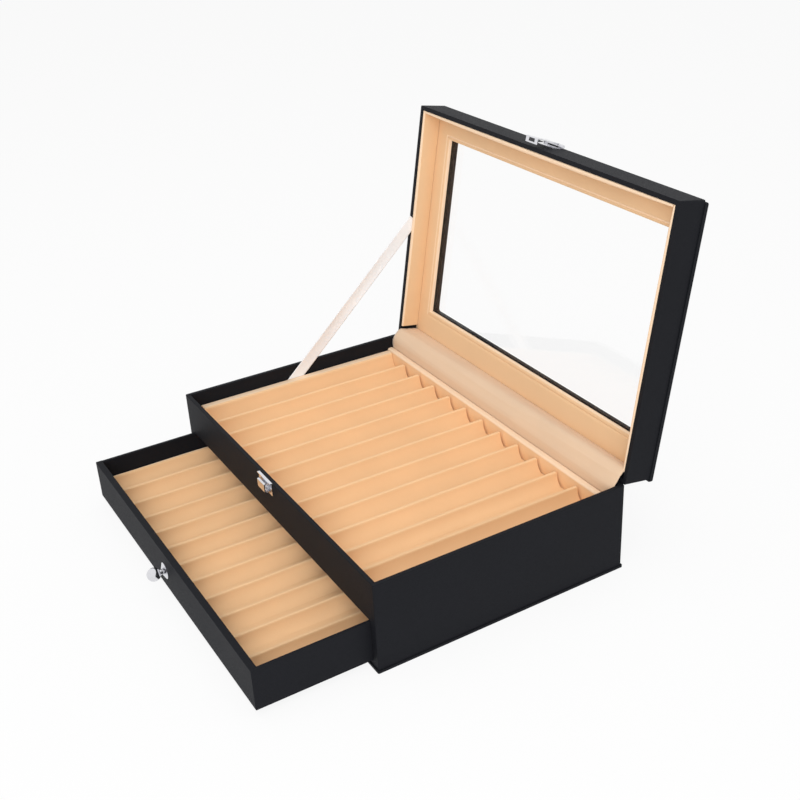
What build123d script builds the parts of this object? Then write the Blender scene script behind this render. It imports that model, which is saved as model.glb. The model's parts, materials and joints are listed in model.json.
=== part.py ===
"""Pen display case: a padded tray over a padded drawer, under a windowed lid.

Millimetres, +Z up. The origin is the middle of the case's plan, on its
underside, and the case's front faces -Y. The lid stands open against its
ribbon and the drawer is pulled part of the way out.
"""

import os

from build123d import *

os.makedirs("parts", exist_ok=True)

# Case
case_length = 330.0
case_depth = 213.0
case_height = 73.4
wall = 3.5
base_thickness = 6.0
base_sheet = 2.0
base_overhang = 0.9
shelf_height = 40.0
shelf_thickness = 3.0
guide_thickness = 3.2
corner_radius = 1.2
edge_radius = 0.5

# Slots for pens, alike in both storeys
slot_count = 12
seam_gap = 0.4
lining_gap = 0.7
padding_radius = 1.0

# Upper tray
upper_end_overrun = 1.6
upper_bed_thickness = 4.5
upper_rest_width = 8.8
upper_rest_rise = 14.0
upper_ridge_rise = 12.6
front_rest_width = 7.4
end_rest_width = 5.2
end_rest_rise = 15.5
back_pad_rise = 22.5
back_pad_width = 3.2
tuck_slot = 2.1

# Padded ridges between the slots
ridge_crest_radius = 1.8
ridge_spread = 6.2
ridge_hollow = 1.65
ridge_seam = 0.25

# Drawer
drawer_out = 87.2
drawer_side_gap = 0.8
drawer_top_gap = 0.8
drawer_bottom_gap = 0.3
drawer_back_gap = 2.0
drawer_front_thickness = 5.0
drawer_side_thickness = 2.8
drawer_back_thickness = 3.0
drawer_bottom_thickness = 3.0
drawer_end_overrun = 0.4
drawer_bed_thickness = 4.2
drawer_rest_width = 3.3
drawer_rest_rise = 10.2
drawer_ridge_rise = 11.2

# Knob
knob_height = 23.0
ball_radius = 5.25
ball_reach = 9.2
neck_radius = 2.25
rosette_radius = 6.5
rosette_rim = 0.8
rosette_thickness = 2.4
screw_radius = 1.5
screw_head_radius = 3.0
screw_length = 11.5
screw_clearance = 0.05
screw_hole_clearance = 0.2
screw_slot = 0.7

# Catch on the case's front
catch_width = 23.0
catch_height = 11.2
catch_drop = 0.1
sheet = 0.9
lip_thickness = 0.7
lip_reach = 2.1
nose_width = 12.0
nose_reach = 4.8
nose_drop = 2.2
nose_length = 8.7
nose_front = 6.0
nose_edge_radius = 0.6
pin_spacing = 17.6
nail_radius = 0.5
nail_head_radius = 1.2
nail_head_height = 0.5
nail_length = 3.0
nail_clearance = 0.05

# Lid, in its own frame: y runs back to front as -Y, z from the rim outwards
lid_open_angle = 99.6
lid_height = 24.0
rim_gap = 0.3
board_thickness = 3.8
board_overhang = 0.8
board_back_overhang = 1.6
board_front_setback = 1.8
board_edge_radius = 1.4
window_border = 23.7
window_back_border = 28.5
window_radius = 3.0
pane_thickness = 3.0
pane_overlap = 5.5
pane_clearance = 0.4
card_thickness = 3.5
liner_thickness = 2.3
liner_clearance = 0.1
liner_rim_setback = 0.2
ribbon_recess = 0.7

# Clasp on the lid's front
clasp_width = 23.0
clasp_bottom = 12.0
clasp_top = 22.0
barrel_height = 21.0
barrel_radius = 1.5
barrel_stand = 1.9
hinge_pin_radius = 0.7
hinge_pin_clearance = 0.05
knuckle_gap = 0.3
hasp_width = 12.0
hasp_tip_width = 14.8
hasp_raise = 4.5
hasp_sheet = 0.8
hook_drop = 1.1
hook_thickness = 0.9
hook_tip_stand = 1.1
hook_reach = 5.9
hook_window_width = 7.4
hook_window_margin = 1.0
hasp_edge_radius = 1.6

# Soft pieces
soft_gap = 0.3
leather_thickness = 0.8
leather_drop = 13.0
leather_rise = 14.0
hinge_liner_thickness = 1.0
hinge_liner_tuck = 5.0
hinge_liner_rim = 1.5
hinge_liner_lid_inset = 1.0
hinge_liner_bend = 4.0
hinge_liner_bulge = 7.2
ribbon_width = 11.0
ribbon_thickness = 0.4
ribbon_foot_front = 4.6
ribbon_foot_height = 60.0
ribbon_foot_tuck = 8.0
ribbon_lid_place = 108.5
ribbon_lid_tuck = 5.0

# Places worked out from the sizes above
half_length = case_length / 2
half_depth = case_depth / 2
inner_half = half_length - wall
inner_depth = half_depth - wall
shelf_top = shelf_height + shelf_thickness
upper_floor = shelf_top + upper_bed_thickness
bed_half = inner_half - lining_gap
bay_half = inner_half - guide_thickness
end_rest_front = inner_depth - back_pad_width - tuck_slot - end_rest_width
bed_front = -inner_depth + front_rest_width + seam_gap
drawer_half = bay_half - drawer_side_gap
drawer_floor = base_thickness + drawer_bottom_gap
drawer_top = shelf_height - drawer_top_gap
drawer_inner_half = drawer_half - drawer_side_thickness
drawer_bed_floor = drawer_floor + drawer_bottom_thickness + drawer_bed_thickness
upper_pitch = 2 * (bed_half - upper_rest_width + upper_end_overrun) / slot_count
drawer_pitch = 2 * (drawer_inner_half - drawer_rest_width + drawer_end_overrun) / slot_count
drawer_depth = case_depth - wall - drawer_back_gap
drawer_inside_front = -half_depth + drawer_front_thickness
drawer_inside_back = -half_depth + drawer_depth - drawer_back_thickness
card_bottom = lid_height - pane_thickness - card_thickness

drawer_frame = Plane.XY.move(Location((0, -drawer_out, 0)))
lid_frame = Plane(origin=(0, half_depth, case_height)).rotated((-lid_open_angle, 0, 0))
lid_out = Axis(lid_frame.origin, lid_frame.z_dir)


def side_plane(frame, x):
    """Plane across a body at x, whose sketches hold that body's (y, z)."""
    return Plane(origin=frame.from_local_coords((x, 0, 0)), x_dir=frame.y_dir, z_dir=frame.x_dir)


def cross_plane(frame, y, x=0, z=0):
    """Plane along a body's length at y, whose sketches hold that body's (x, z) from the point given."""
    return Plane(origin=frame.from_local_coords((x, y, z)), x_dir=frame.x_dir, z_dir=-frame.y_dir)


def padded_ridge(frame, x, floor, rise, back, front):
    """Ridge between two slots: round crest and hollow flanks down to a seam on the floor."""
    with BuildPart() as ridge:
        with BuildSketch(cross_plane(frame, back, x, floor)):
            with BuildLine():
                top = JernArc((0, rise), (1, 0), ridge_crest_radius, -90)
                flank = SagittaArc(top @ 1, (ridge_crest_radius + ridge_spread, ridge_seam), -ridge_hollow)
                seam = Line(flank @ 1, ((flank @ 1).X, 0))
                Line(seam @ 1, (0, 0))
                mirror(about=Plane.YZ)
            make_face()
        extrude(amount=back - front)
    return ridge.part


def padded_bed(frame, bottom, floor, half, rest_width, rest_rise, back, front):
    """Bed under the slots: a floor between two side rests with hollow inner flanks."""
    with BuildPart() as bed:
        with BuildSketch(cross_plane(frame, back)):
            with BuildLine():
                base = Line((0, bottom), (half, bottom))
                outer = Line(base @ 1, (half, floor + rest_rise))
                top = Line(outer @ 1, (half - rest_width, floor + rest_rise))
                flank = SagittaArc(top @ 1, (half - rest_width - ridge_spread, floor), ridge_hollow)
                Line(flank @ 1, (0, floor))
                mirror(about=Plane.YZ)
            make_face()
        extrude(amount=back - front)
        fillet(edges().filter_by(Axis.Y).group_by(Axis.Z)[-1], radius=padding_radius)
    return bed.part


# Base: a thin sheet that shows under the walls, and the board that stands between them
with BuildPart() as base_board:
    with BuildSketch():
        Rectangle(case_length + 2 * base_overhang, case_depth + 2 * base_overhang)
        fillet(vertices(), radius=corner_radius)
    extrude(amount=base_sheet)
    with BuildSketch(Plane.XY.offset(base_sheet)):
        with Locations((0, -wall / 2)):
            Rectangle(2 * inner_half, case_depth - wall)
    extrude(amount=base_thickness - base_sheet)
base_board.part.label = "base_board"
export_step(base_board.part, "parts/base_board.step")

# Side panels run the full depth and cover the ends of the front and back
for side, sign in (("left", -1), ("right", 1)):
    with BuildPart() as side_panel:
        with BuildSketch(Plane.XY.offset(base_sheet)):
            with Locations((sign * (half_length - wall / 2), 0)):
                Rectangle(wall, case_depth)
            outer_corners = vertices().filter_by(lambda v: abs(v.X) > half_length - wall / 2)
            fillet(outer_corners, radius=corner_radius)
        extrude(amount=case_height - base_sheet)
        fillet(faces().sort_by(Axis.Z)[-1].edges(), radius=edge_radius)
    side_panel.part.label = f"{side}_side_panel"
    export_step(side_panel.part, f"parts/{side}_side_panel.step")

    # Guides narrow the bay to the drawer's width and carry the shelf
    with BuildPart() as drawer_guide:
        with BuildSketch(Plane.XY.offset(base_thickness)):
            with Locations((sign * (inner_half - guide_thickness / 2), -wall / 2)):
                Rectangle(guide_thickness, case_depth - wall)
        extrude(amount=shelf_height - base_thickness)
    drawer_guide.part.label = f"{side}_drawer_guide"
    export_step(drawer_guide.part, f"parts/{side}_drawer_guide.step")

with BuildPart() as back_panel:
    with BuildSketch(Plane.XY.offset(base_sheet)):
        with Locations((0, half_depth - wall / 2)):
            Rectangle(2 * inner_half, wall)
    extrude(amount=case_height - base_sheet)
    fillet(edges().group_by(Axis.Z)[-1].filter_by(Axis.X), radius=edge_radius)
back_panel.part.label = "back_panel"
export_step(back_panel.part, "parts/back_panel.step")

# Front rail over the drawer, drilled for the catch's two nails
with BuildPart() as front_rail:
    with BuildSketch(Plane.XY.offset(shelf_height)):
        with Locations((0, -half_depth + wall / 2)):
            Rectangle(2 * inner_half, wall)
    extrude(amount=case_height - shelf_height)
    fillet(edges().group_by(Axis.Z)[-1].filter_by(Axis.X), radius=edge_radius)
    nail_height = case_height - catch_drop - catch_height / 2
    with Locations(Plane(origin=(0, -half_depth, nail_height), x_dir=(1, 0, 0), z_dir=(0, -1, 0))):
        with GridLocations(pin_spacing, 1, 2, 1):
            Hole(nail_radius + nail_clearance, depth=nail_length - sheet + nail_clearance)
front_rail.part.label = "front_rail"
export_step(front_rail.part, "parts/front_rail.step")

with BuildPart() as middle_shelf:
    with BuildSketch(Plane.XY.offset(shelf_height)):
        Rectangle(2 * inner_half, 2 * inner_depth)
    extrude(amount=shelf_thickness)
middle_shelf.part.label = "middle_shelf"
export_step(middle_shelf.part, "parts/middle_shelf.step")

# Upper bed: the padded floor and the two side rests, one wrapped pad
upper_bed = padded_bed(
    Plane.XY, shelf_top, upper_floor, bed_half, upper_rest_width, upper_rest_rise,
    end_rest_front - seam_gap, bed_front,
)
upper_bed.label = "upper_bed"
export_step(upper_bed, "parts/upper_bed.step")

with BuildPart() as upper_front_rest:
    with BuildSketch(side_plane(Plane.XY, -bed_half)):
        with Locations((-inner_depth + front_rest_width / 2, shelf_top)):
            Rectangle(
                front_rest_width, upper_bed_thickness + upper_rest_rise, align=(Align.CENTER, Align.MIN)
            )
        fillet(vertices().group_by(Axis.Y)[-1], radius=padding_radius)
    extrude(amount=2 * bed_half)
upper_front_rest.part.label = "upper_front_rest"
export_step(upper_front_rest.part, "parts/upper_front_rest.step")

# End rest behind the slots, with the slot that the hinge liner tucks into and the pad behind it
with BuildPart() as upper_end_rest:
    with BuildSketch(side_plane(Plane.XY, -bed_half)):
        with Locations((end_rest_front, shelf_top)):
            Rectangle(
                inner_depth - end_rest_front, upper_bed_thickness, align=(Align.MIN, Align.MIN)
            )
            Rectangle(
                end_rest_width, upper_bed_thickness + end_rest_rise, align=(Align.MIN, Align.MIN)
            )
        with Locations((inner_depth, shelf_top)):
            Rectangle(
                back_pad_width, upper_bed_thickness + back_pad_rise, align=(Align.MAX, Align.MIN)
            )
        fillet(vertices().group_by(Axis.Y)[-1], radius=padding_radius)
        rest_corners = vertices().filter_by(lambda v: v.X < end_rest_front + end_rest_width + seam_gap)
        fillet(rest_corners.group_by(Axis.Y)[-1], radius=padding_radius)
    extrude(amount=2 * bed_half)
upper_end_rest.part.label = "upper_end_rest"
export_step(upper_end_rest.part, "parts/upper_end_rest.step")

for number in range(1, slot_count):
    upper_divider = padded_ridge(
        Plane.XY, upper_pitch * (number - slot_count / 2), upper_floor, upper_ridge_rise,
        end_rest_front - seam_gap, bed_front + seam_gap,
    )
    upper_divider.label = f"upper_divider_{number:02d}"
    export_step(upper_divider, f"parts/{upper_divider.label}.step")

# Catch: a nailed plate whose top edge is folded out as the lip, with a hollow nose under it
catch_top = case_height - catch_drop
with BuildPart() as catch_plate:
    with BuildSketch(side_plane(Plane.XY, -catch_width / 2)):
        with BuildLine():
            Polyline(
                (-half_depth, catch_top),
                (-half_depth - lip_reach, catch_top),
                (-half_depth - lip_reach, catch_top - lip_thickness),
                (-half_depth - sheet, catch_top - lip_thickness),
                (-half_depth - sheet, catch_top - catch_height),
                (-half_depth, catch_top - catch_height),
                close=True,
            )
        make_face()
    extrude(amount=catch_width)
    with BuildSketch(side_plane(Plane.XY, -nose_width / 2)):
        with BuildLine():
            nose_top = Line(
                (-half_depth, catch_top - nose_drop), (-half_depth - nose_reach, catch_top - nose_drop)
            )
            nose_face = Line(nose_top @ 1, nose_top @ 1 - Vector(0, nose_front))
            nose_end = (-half_depth - sheet, catch_top - nose_drop - nose_length)
            curl = TangentArc(nose_face @ 1, nose_end, tangent=nose_face % 1)
            nose_foot = Line(curl @ 1, (-half_depth, (curl @ 1).Y))
            Line(nose_foot @ 1, nose_top @ 0)
        make_face()
        fillet(vertices().group_by(Axis.X)[0].sort_by(Axis.Y)[-1], radius=nose_edge_radius)
    extrude(amount=nose_width)
    with BuildSketch(side_plane(Plane.XY, -nose_width / 2)):
        with BuildLine():
            hollow_top = Line(nose_top @ 0 - Vector(sheet, sheet), nose_top @ 1 + Vector(sheet, -sheet))
            hollow_face = Line(hollow_top @ 1, nose_face @ 1 + Vector(sheet, 0))
            hollow_end = (-half_depth - sheet, catch_top - nose_drop - nose_length + 2 * sheet)
            hollow_curl = TangentArc(hollow_face @ 1, hollow_end, tangent=hollow_face % 1)
            Line(hollow_curl @ 1, hollow_top @ 0)
        make_face()
    extrude(amount=nose_width, mode=Mode.SUBTRACT)
    with Locations(Plane(origin=(0, -half_depth - sheet, nail_height), x_dir=(1, 0, 0), z_dir=(0, -1, 0))):
        with GridLocations(pin_spacing, 1, 2, 1):
            Hole(nail_radius + nail_clearance, depth=2 * sheet)
    plate_ends = edges().filter_by(Axis.Y).filter_by(lambda e: abs(e.center().X) > nose_width / 2 + sheet)
    fillet(plate_ends.group_by(Axis.Z)[0], radius=padding_radius)
catch_plate.part.label = "catch_plate"
export_step(catch_plate.part, "parts/catch_plate.step")

# Two round-headed nails hold the catch
with BuildPart() as catch_pins:
    nail_plane = Plane(origin=(0, -half_depth - sheet, nail_height), x_dir=(1, 0, 0), z_dir=(0, -1, 0))
    with BuildSketch(nail_plane):
        with GridLocations(pin_spacing, 1, 2, 1):
            Circle(nail_radius)
    extrude(amount=-nail_length)
    with BuildSketch(nail_plane):
        with GridLocations(pin_spacing, 1, 2, 1):
            Circle(nail_head_radius)
    extrude(amount=nail_head_height)
catch_pins.part.label = "catch_pins"
export_step(catch_pins.part, "parts/catch_pins.step")

# Drawer front, countersunk from inside for the knob's screw
knob_plane = Plane(origin=(0, -drawer_out - half_depth, knob_height), x_dir=(1, 0, 0), z_dir=(0, -1, 0))
with BuildPart() as drawer_front:
    with BuildSketch(drawer_frame.offset(drawer_floor)):
        with Locations((0, -half_depth + drawer_front_thickness / 2)):
            Rectangle(2 * drawer_half, drawer_front_thickness)
    extrude(amount=drawer_top - drawer_floor)
    fillet(faces().sort_by(Axis.Y)[0].edges(), radius=edge_radius)
    with Locations(Plane(
        origin=knob_plane.offset(-drawer_front_thickness).origin, x_dir=(1, 0, 0), z_dir=(0, 1, 0)
    )):
        CounterSinkHole(
            screw_radius + screw_hole_clearance,
            screw_head_radius + screw_hole_clearance,
            counter_sink_angle=90,
        )
drawer_front.part.label = "drawer_front"
export_step(drawer_front.part, "parts/drawer_front.step")

for side, sign in (("left", -1), ("right", 1)):
    with BuildPart() as drawer_side:
        with BuildSketch(drawer_frame.offset(drawer_floor)):
            with Locations((sign * (drawer_half - drawer_side_thickness / 2), drawer_inside_front)):
                Rectangle(
                    drawer_side_thickness, drawer_depth - drawer_front_thickness,
                    align=(Align.CENTER, Align.MIN),
                )
        extrude(amount=drawer_top - drawer_floor)
        fillet(edges().filter_by(Axis.Y).group_by(Axis.Z)[-1], radius=edge_radius)
    drawer_side.part.label = f"drawer_{side}_side"
    export_step(drawer_side.part, f"parts/{drawer_side.part.label}.step")

with BuildPart() as drawer_back:
    with BuildSketch(drawer_frame.offset(drawer_floor)):
        with Locations((0, drawer_inside_back + drawer_back_thickness / 2)):
            Rectangle(2 * drawer_inner_half, drawer_back_thickness)
    extrude(amount=drawer_top - drawer_floor)
    fillet(edges().filter_by(Axis.X).group_by(Axis.Z)[-1], radius=edge_radius)
drawer_back.part.label = "drawer_back"
export_step(drawer_back.part, "parts/drawer_back.step")

with BuildPart() as drawer_bottom:
    with BuildSketch(drawer_frame.offset(drawer_floor)):
        with Locations((0, drawer_inside_front)):
            Rectangle(
                2 * drawer_inner_half, drawer_inside_back - drawer_inside_front,
                align=(Align.CENTER, Align.MIN),
            )
    extrude(amount=drawer_bottom_thickness)
drawer_bottom.part.label = "drawer_bottom"
export_step(drawer_bottom.part, "parts/drawer_bottom.step")

drawer_bed = padded_bed(
    drawer_frame, drawer_floor + drawer_bottom_thickness, drawer_bed_floor, drawer_inner_half,
    drawer_rest_width, drawer_rest_rise, drawer_inside_back, drawer_inside_front,
)
drawer_bed.label = "drawer_bed"
export_step(drawer_bed, "parts/drawer_bed.step")

for number in range(1, slot_count):
    drawer_divider = padded_ridge(
        drawer_frame, drawer_pitch * (number - slot_count / 2), drawer_bed_floor, drawer_ridge_rise,
        drawer_inside_back - seam_gap, drawer_inside_front + seam_gap,
    )
    drawer_divider.label = f"drawer_divider_{number:02d}"
    export_step(drawer_divider, f"parts/{drawer_divider.label}.step")

# Knob, its flared rosette and its screw turn about one line square to the drawer's front
knob_axis = Axis(knob_plane.origin, (0, -1, 0))
knob_section = Plane(origin=knob_plane.origin, x_dir=(0, 0, 1), z_dir=(1, 0, 0))
with BuildPart() as knob_rosette:
    with BuildSketch(knob_section):
        with BuildLine():
            rosette_bore = screw_radius + screw_hole_clearance
            foot = Line((rosette_bore, 0), (rosette_radius, 0))
            rim = Line(foot @ 1, (rosette_radius, rosette_rim))
            flare = Line(rim @ 1, (neck_radius + sheet, rosette_thickness))
            seat = Line(flare @ 1, (rosette_bore, rosette_thickness))
            Line(seat @ 1, foot @ 0)
        make_face()
    revolve(axis=knob_axis)
knob_rosette.part.label = "knob_rosette"
export_step(knob_rosette.part, "parts/knob_rosette.step")

with BuildPart() as knob:
    neck_top = ball_reach - (ball_radius**2 - neck_radius**2) ** 0.5
    tapped_end = screw_length - drawer_front_thickness + screw_clearance
    with BuildSketch(knob_section):
        with BuildLine():
            neck = Line((neck_radius, rosette_thickness), (neck_radius, neck_top))
            ThreePointArc(neck @ 1, (ball_radius, ball_reach), (0, ball_reach + ball_radius))
            core = Line((0, ball_reach + ball_radius), (0, tapped_end))
            tap_end = Line(core @ 1, (screw_radius + screw_clearance, tapped_end))
            tap = Line(tap_end @ 1, (screw_radius + screw_clearance, rosette_thickness))
            Line(tap @ 1, neck @ 0)
        make_face()
    revolve(axis=knob_axis)
knob.part.label = "knob"
export_step(knob.part, "parts/knob.step")

with BuildPart() as knob_screw:
    head_depth = screw_head_radius - screw_radius
    with BuildSketch(knob_section):
        with BuildLine():
            Polyline(
                (0, -drawer_front_thickness),
                (screw_head_radius, -drawer_front_thickness),
                (screw_radius, head_depth - drawer_front_thickness),
                (screw_radius, screw_length - drawer_front_thickness),
                (0, screw_length - drawer_front_thickness),
                close=True,
            )
        make_face()
    revolve(axis=knob_axis)
    with BuildSketch(knob_plane.offset(-drawer_front_thickness)):
        Rectangle(2 * screw_head_radius, screw_slot)
    extrude(amount=screw_slot, mode=Mode.SUBTRACT)
knob_screw.part.label = "knob_screw"
export_step(knob_screw.part, "parts/knob_screw.step")

# Lid frame: side rails run the full depth, front and back rails fit between them
for side, sign in (("left", -1), ("right", 1)):
    with BuildPart() as lid_side_rail:
        with BuildSketch(lid_frame.offset(rim_gap)):
            with Locations((sign * (half_length - wall / 2), -half_depth)):
                Rectangle(wall, case_depth)
        extrude(amount=lid_height - rim_gap)
        upright = edges().filter_by(lid_out)
        fillet(
            upright.filter_by(lambda e: abs(e.center().X) > half_length - edge_radius),
            radius=corner_radius,
        )
    lid_side_rail.part.label = f"lid_{side}_rail"
    export_step(lid_side_rail.part, f"parts/lid_{side}_rail.step")

    # Side liner stands inside the rail; the left one is thinned where the ribbon's end is glued
    with BuildPart() as lid_side_liner:
        with BuildSketch(lid_frame.offset(rim_gap + liner_rim_setback)):
            with Locations((sign * (inner_half - liner_clearance - liner_thickness / 2), -half_depth)):
                Rectangle(liner_thickness, case_depth - 2 * (wall + soft_gap))
        extrude(amount=card_bottom - soft_gap - rim_gap - liner_rim_setback)
        if side == "left":
            with BuildSketch(lid_frame.offset(rim_gap + liner_rim_setback)):
                with Locations((sign * (inner_half - liner_clearance), -ribbon_lid_place)):
                    Rectangle(2 * ribbon_recess, 3 * ribbon_width)
            extrude(amount=2 * ribbon_lid_tuck, mode=Mode.SUBTRACT)
    lid_side_liner.part.label = f"lid_{side}_liner"
    export_step(lid_side_liner.part, f"parts/lid_{side}_liner.step")

with BuildPart() as lid_front_rail:
    with BuildSketch(lid_frame.offset(rim_gap)):
        with Locations((0, -case_depth + wall / 2)):
            Rectangle(2 * inner_half, wall)
    extrude(amount=lid_height - rim_gap)
lid_front_rail.part.label = "lid_front_rail"
export_step(lid_front_rail.part, "parts/lid_front_rail.step")

with BuildPart() as lid_back_rail:
    with BuildSketch(lid_frame.offset(rim_gap)):
        with Locations((0, -wall / 2)):
            Rectangle(2 * inner_half, wall)
    extrude(amount=lid_height - rim_gap)
lid_back_rail.part.label = "lid_back_rail"
export_step(lid_back_rail.part, "parts/lid_back_rail.step")

liner_inner_half = inner_half - liner_clearance - liner_thickness
with BuildPart() as lid_front_liner:
    with BuildSketch(lid_frame.offset(rim_gap + liner_rim_setback)):
        with Locations((0, -case_depth + wall + liner_clearance + liner_thickness / 2)):
            Rectangle(2 * (liner_inner_half - liner_clearance), liner_thickness)
    extrude(amount=card_bottom - soft_gap - rim_gap - liner_rim_setback)
lid_front_liner.part.label = "lid_front_liner"
export_step(lid_front_liner.part, "parts/lid_front_liner.step")

# The window's outline, shared by the board, the padded card and the pane
window_length = case_length - 2 * window_border
window_depth = case_depth - window_border - window_back_border
window_middle = -window_back_border - window_depth / 2

with BuildPart() as window_board:
    board_front = -case_depth + board_front_setback
    with BuildSketch(lid_frame.offset(lid_height)):
        with Locations((0, (board_front + board_back_overhang) / 2)):
            Rectangle(case_length + 2 * board_overhang, board_back_overhang - board_front)
        fillet(vertices(), radius=corner_radius)
    extrude(amount=board_thickness)
    fillet(faces().sort_by(lid_out)[-1].edges(), radius=board_edge_radius)
    with BuildSketch(lid_frame.offset(lid_height)):
        with Locations((0, window_middle)):
            RectangleRounded(window_length, window_depth, window_radius)
    extrude(amount=board_thickness, mode=Mode.SUBTRACT)
window_board.part.label = "window_board"
export_step(window_board.part, "parts/window_board.step")

with BuildPart() as window_pane:
    with BuildSketch(lid_frame.offset(lid_height - pane_thickness)):
        with Locations((0, window_middle)):
            Rectangle(window_length + 2 * pane_overlap, window_depth + 2 * pane_overlap)
    extrude(amount=pane_thickness)
window_pane.part.label = "window_pane"
export_step(window_pane.part, "parts/window_pane.step")

# Padded card round the window, with a rebate that holds the pane against the board
with BuildPart() as window_liner:
    with BuildSketch(lid_frame.offset(card_bottom)):
        with Locations((0, -half_depth)):
            Rectangle(2 * (inner_half - soft_gap), case_depth - 2 * (wall + soft_gap))
        with Locations((0, window_middle)):
            RectangleRounded(window_length, window_depth, window_radius, mode=Mode.SUBTRACT)
    extrude(amount=card_thickness + pane_thickness)
    with BuildSketch(lid_frame.offset(card_bottom + card_thickness)):
        with Locations((0, window_middle)):
            Rectangle(
                window_length + 2 * (pane_overlap + pane_clearance),
                window_depth + 2 * (pane_overlap + pane_clearance),
            )
    extrude(amount=pane_thickness, mode=Mode.SUBTRACT)
window_liner.part.label = "window_liner"
export_step(window_liner.part, "parts/window_liner.step")

# Clasp plate: two end knuckles on ears, with the sheet cut away under the hasp's knuckle
hasp_space = hasp_width / 2 + knuckle_gap
barrel_y = -case_depth - barrel_stand
with BuildPart() as clasp_plate:
    with BuildSketch(cross_plane(lid_frame, -case_depth)):
        with Locations((0, clasp_bottom)):
            Rectangle(clasp_width, clasp_top - clasp_bottom, align=(Align.CENTER, Align.MIN))
        fillet(vertices().group_by(Axis.Y)[0], radius=hasp_edge_radius)
        with Locations((0, clasp_top)):
            Rectangle(
                2 * hasp_space, 2 * (barrel_radius + knuckle_gap), align=(Align.CENTER, Align.MAX),
                mode=Mode.SUBTRACT,
            )
    extrude(amount=sheet)
    for start in (-clasp_width / 2, hasp_space):
        with BuildSketch(side_plane(lid_frame, start)):
            with Locations((barrel_y, barrel_height)):
                Circle(barrel_radius)
        extrude(amount=clasp_width / 2 - hasp_space)
    with BuildSketch(side_plane(lid_frame, -clasp_width / 2)):
        with Locations((barrel_y, barrel_height)):
            Circle(hinge_pin_radius + hinge_pin_clearance)
    extrude(amount=clasp_width, mode=Mode.SUBTRACT)
clasp_plate.part.label = "clasp_plate"
export_step(clasp_plate.part, "parts/clasp_plate.step")

with BuildPart() as clasp_pin:
    with BuildSketch(side_plane(lid_frame, -clasp_width / 2)):
        with Locations((barrel_y, barrel_height)):
            Circle(hinge_pin_radius)
    extrude(amount=clasp_width)
clasp_pin.part.label = "clasp_pin"
export_step(clasp_pin.part, "parts/clasp_pin.step")

# Hasp: knuckle, leaf that slopes out to the tip, and a windowed hook turned in under the catch's lip
hasp_frame = Plane(
    origin=lid_frame.from_local_coords((0, barrel_y, barrel_height)),
    x_dir=lid_frame.x_dir, z_dir=lid_frame.z_dir,
).rotated((-hasp_raise, 0, 0))
hook_top = -barrel_height - hook_drop
hook_out = barrel_stand - hook_reach
hook_tip = barrel_stand - hook_tip_stand
with BuildPart() as clasp_hasp:
    with BuildSketch(side_plane(hasp_frame, -hasp_width / 2)):
        with BuildLine():
            Polyline(
                (-barrel_radius, 0),
                (hook_out, hook_top - hook_thickness + hasp_edge_radius),
                (hook_out + hasp_sheet, hook_top - hook_thickness + hasp_edge_radius),
                (hasp_sheet - barrel_radius, 0),
                close=True,
            )
        make_face()
        Circle(barrel_radius)
    extrude(amount=hasp_width)
    with BuildSketch(side_plane(hasp_frame, -hasp_tip_width / 2)):
        with Locations((hook_out, hook_top - hook_thickness)):
            Rectangle(hook_tip - hook_out, hook_thickness, align=(Align.MIN, Align.MIN))
            Rectangle(hasp_sheet, hasp_edge_radius + hasp_sheet, align=(Align.MIN, Align.MIN))
    extrude(amount=hasp_tip_width)
    with BuildSketch(hasp_frame.offset(hook_top - hook_thickness)):
        with Locations((0, hook_out + hasp_sheet)):
            Rectangle(
                hook_window_width, hook_tip - hook_out - hasp_sheet - hook_window_margin,
                align=(Align.CENTER, Align.MIN),
            )
    extrude(amount=hook_thickness, mode=Mode.SUBTRACT)
    with BuildSketch(side_plane(hasp_frame, -hasp_width / 2)):
        Circle(hinge_pin_radius + hinge_pin_clearance)
    extrude(amount=hasp_width, mode=Mode.SUBTRACT)
clasp_hasp.part.label = "clasp_hasp"
export_step(clasp_hasp.part, "parts/clasp_hasp.step")

# Leather strip over the outside of the hinge, bent into the corner between case and open lid
with BuildPart() as leather_hinge:
    lid_side = lid_frame.from_local_coords((0, soft_gap, leather_rise))
    corner = lid_frame.from_local_coords((0, soft_gap, soft_gap))
    with BuildSketch(side_plane(Plane.XY, -inner_half)):
        with BuildLine():
            strip = FilletPolyline(
                (half_depth + soft_gap, case_height - leather_drop),
                (half_depth + soft_gap, corner.Z),
                (lid_side.Y, lid_side.Z),
                radius=leather_thickness,
            )
            offset(strip, amount=leather_thickness, side=Side.RIGHT)
        make_face()
    extrude(amount=2 * inner_half)
leather_hinge.part.label = "leather_hinge"
export_step(leather_hinge.part, "parts/leather_hinge.step")

# Hinge liner: fabric from the tuck behind the end rest, over the rim and down inside the lid
with BuildPart() as hinge_liner:
    tuck_y = inner_depth - back_pad_width - (tuck_slot - hinge_liner_thickness) / 2
    bulge = lid_frame.from_local_coords((0, -hinge_liner_bulge, 0))
    lid_end = lid_frame.from_local_coords((0, -wall - hinge_liner_lid_inset, card_bottom - soft_gap))
    with BuildSketch(side_plane(Plane.XY, soft_gap - liner_inner_half)):
        with BuildLine():
            cloth = FilletPolyline(
                (tuck_y, upper_floor + end_rest_rise - hinge_liner_tuck),
                (tuck_y, case_height - hinge_liner_rim),
                (bulge.Y, bulge.Z),
                (lid_end.Y, lid_end.Z),
                radius=hinge_liner_bend,
            )
            offset(cloth, amount=hinge_liner_thickness, side=Side.LEFT)
        make_face()
    extrude(amount=2 * (liner_inner_half - soft_gap))
hinge_liner.part.label = "hinge_liner"
export_step(hinge_liner.part, "parts/hinge_liner.step")

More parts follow.
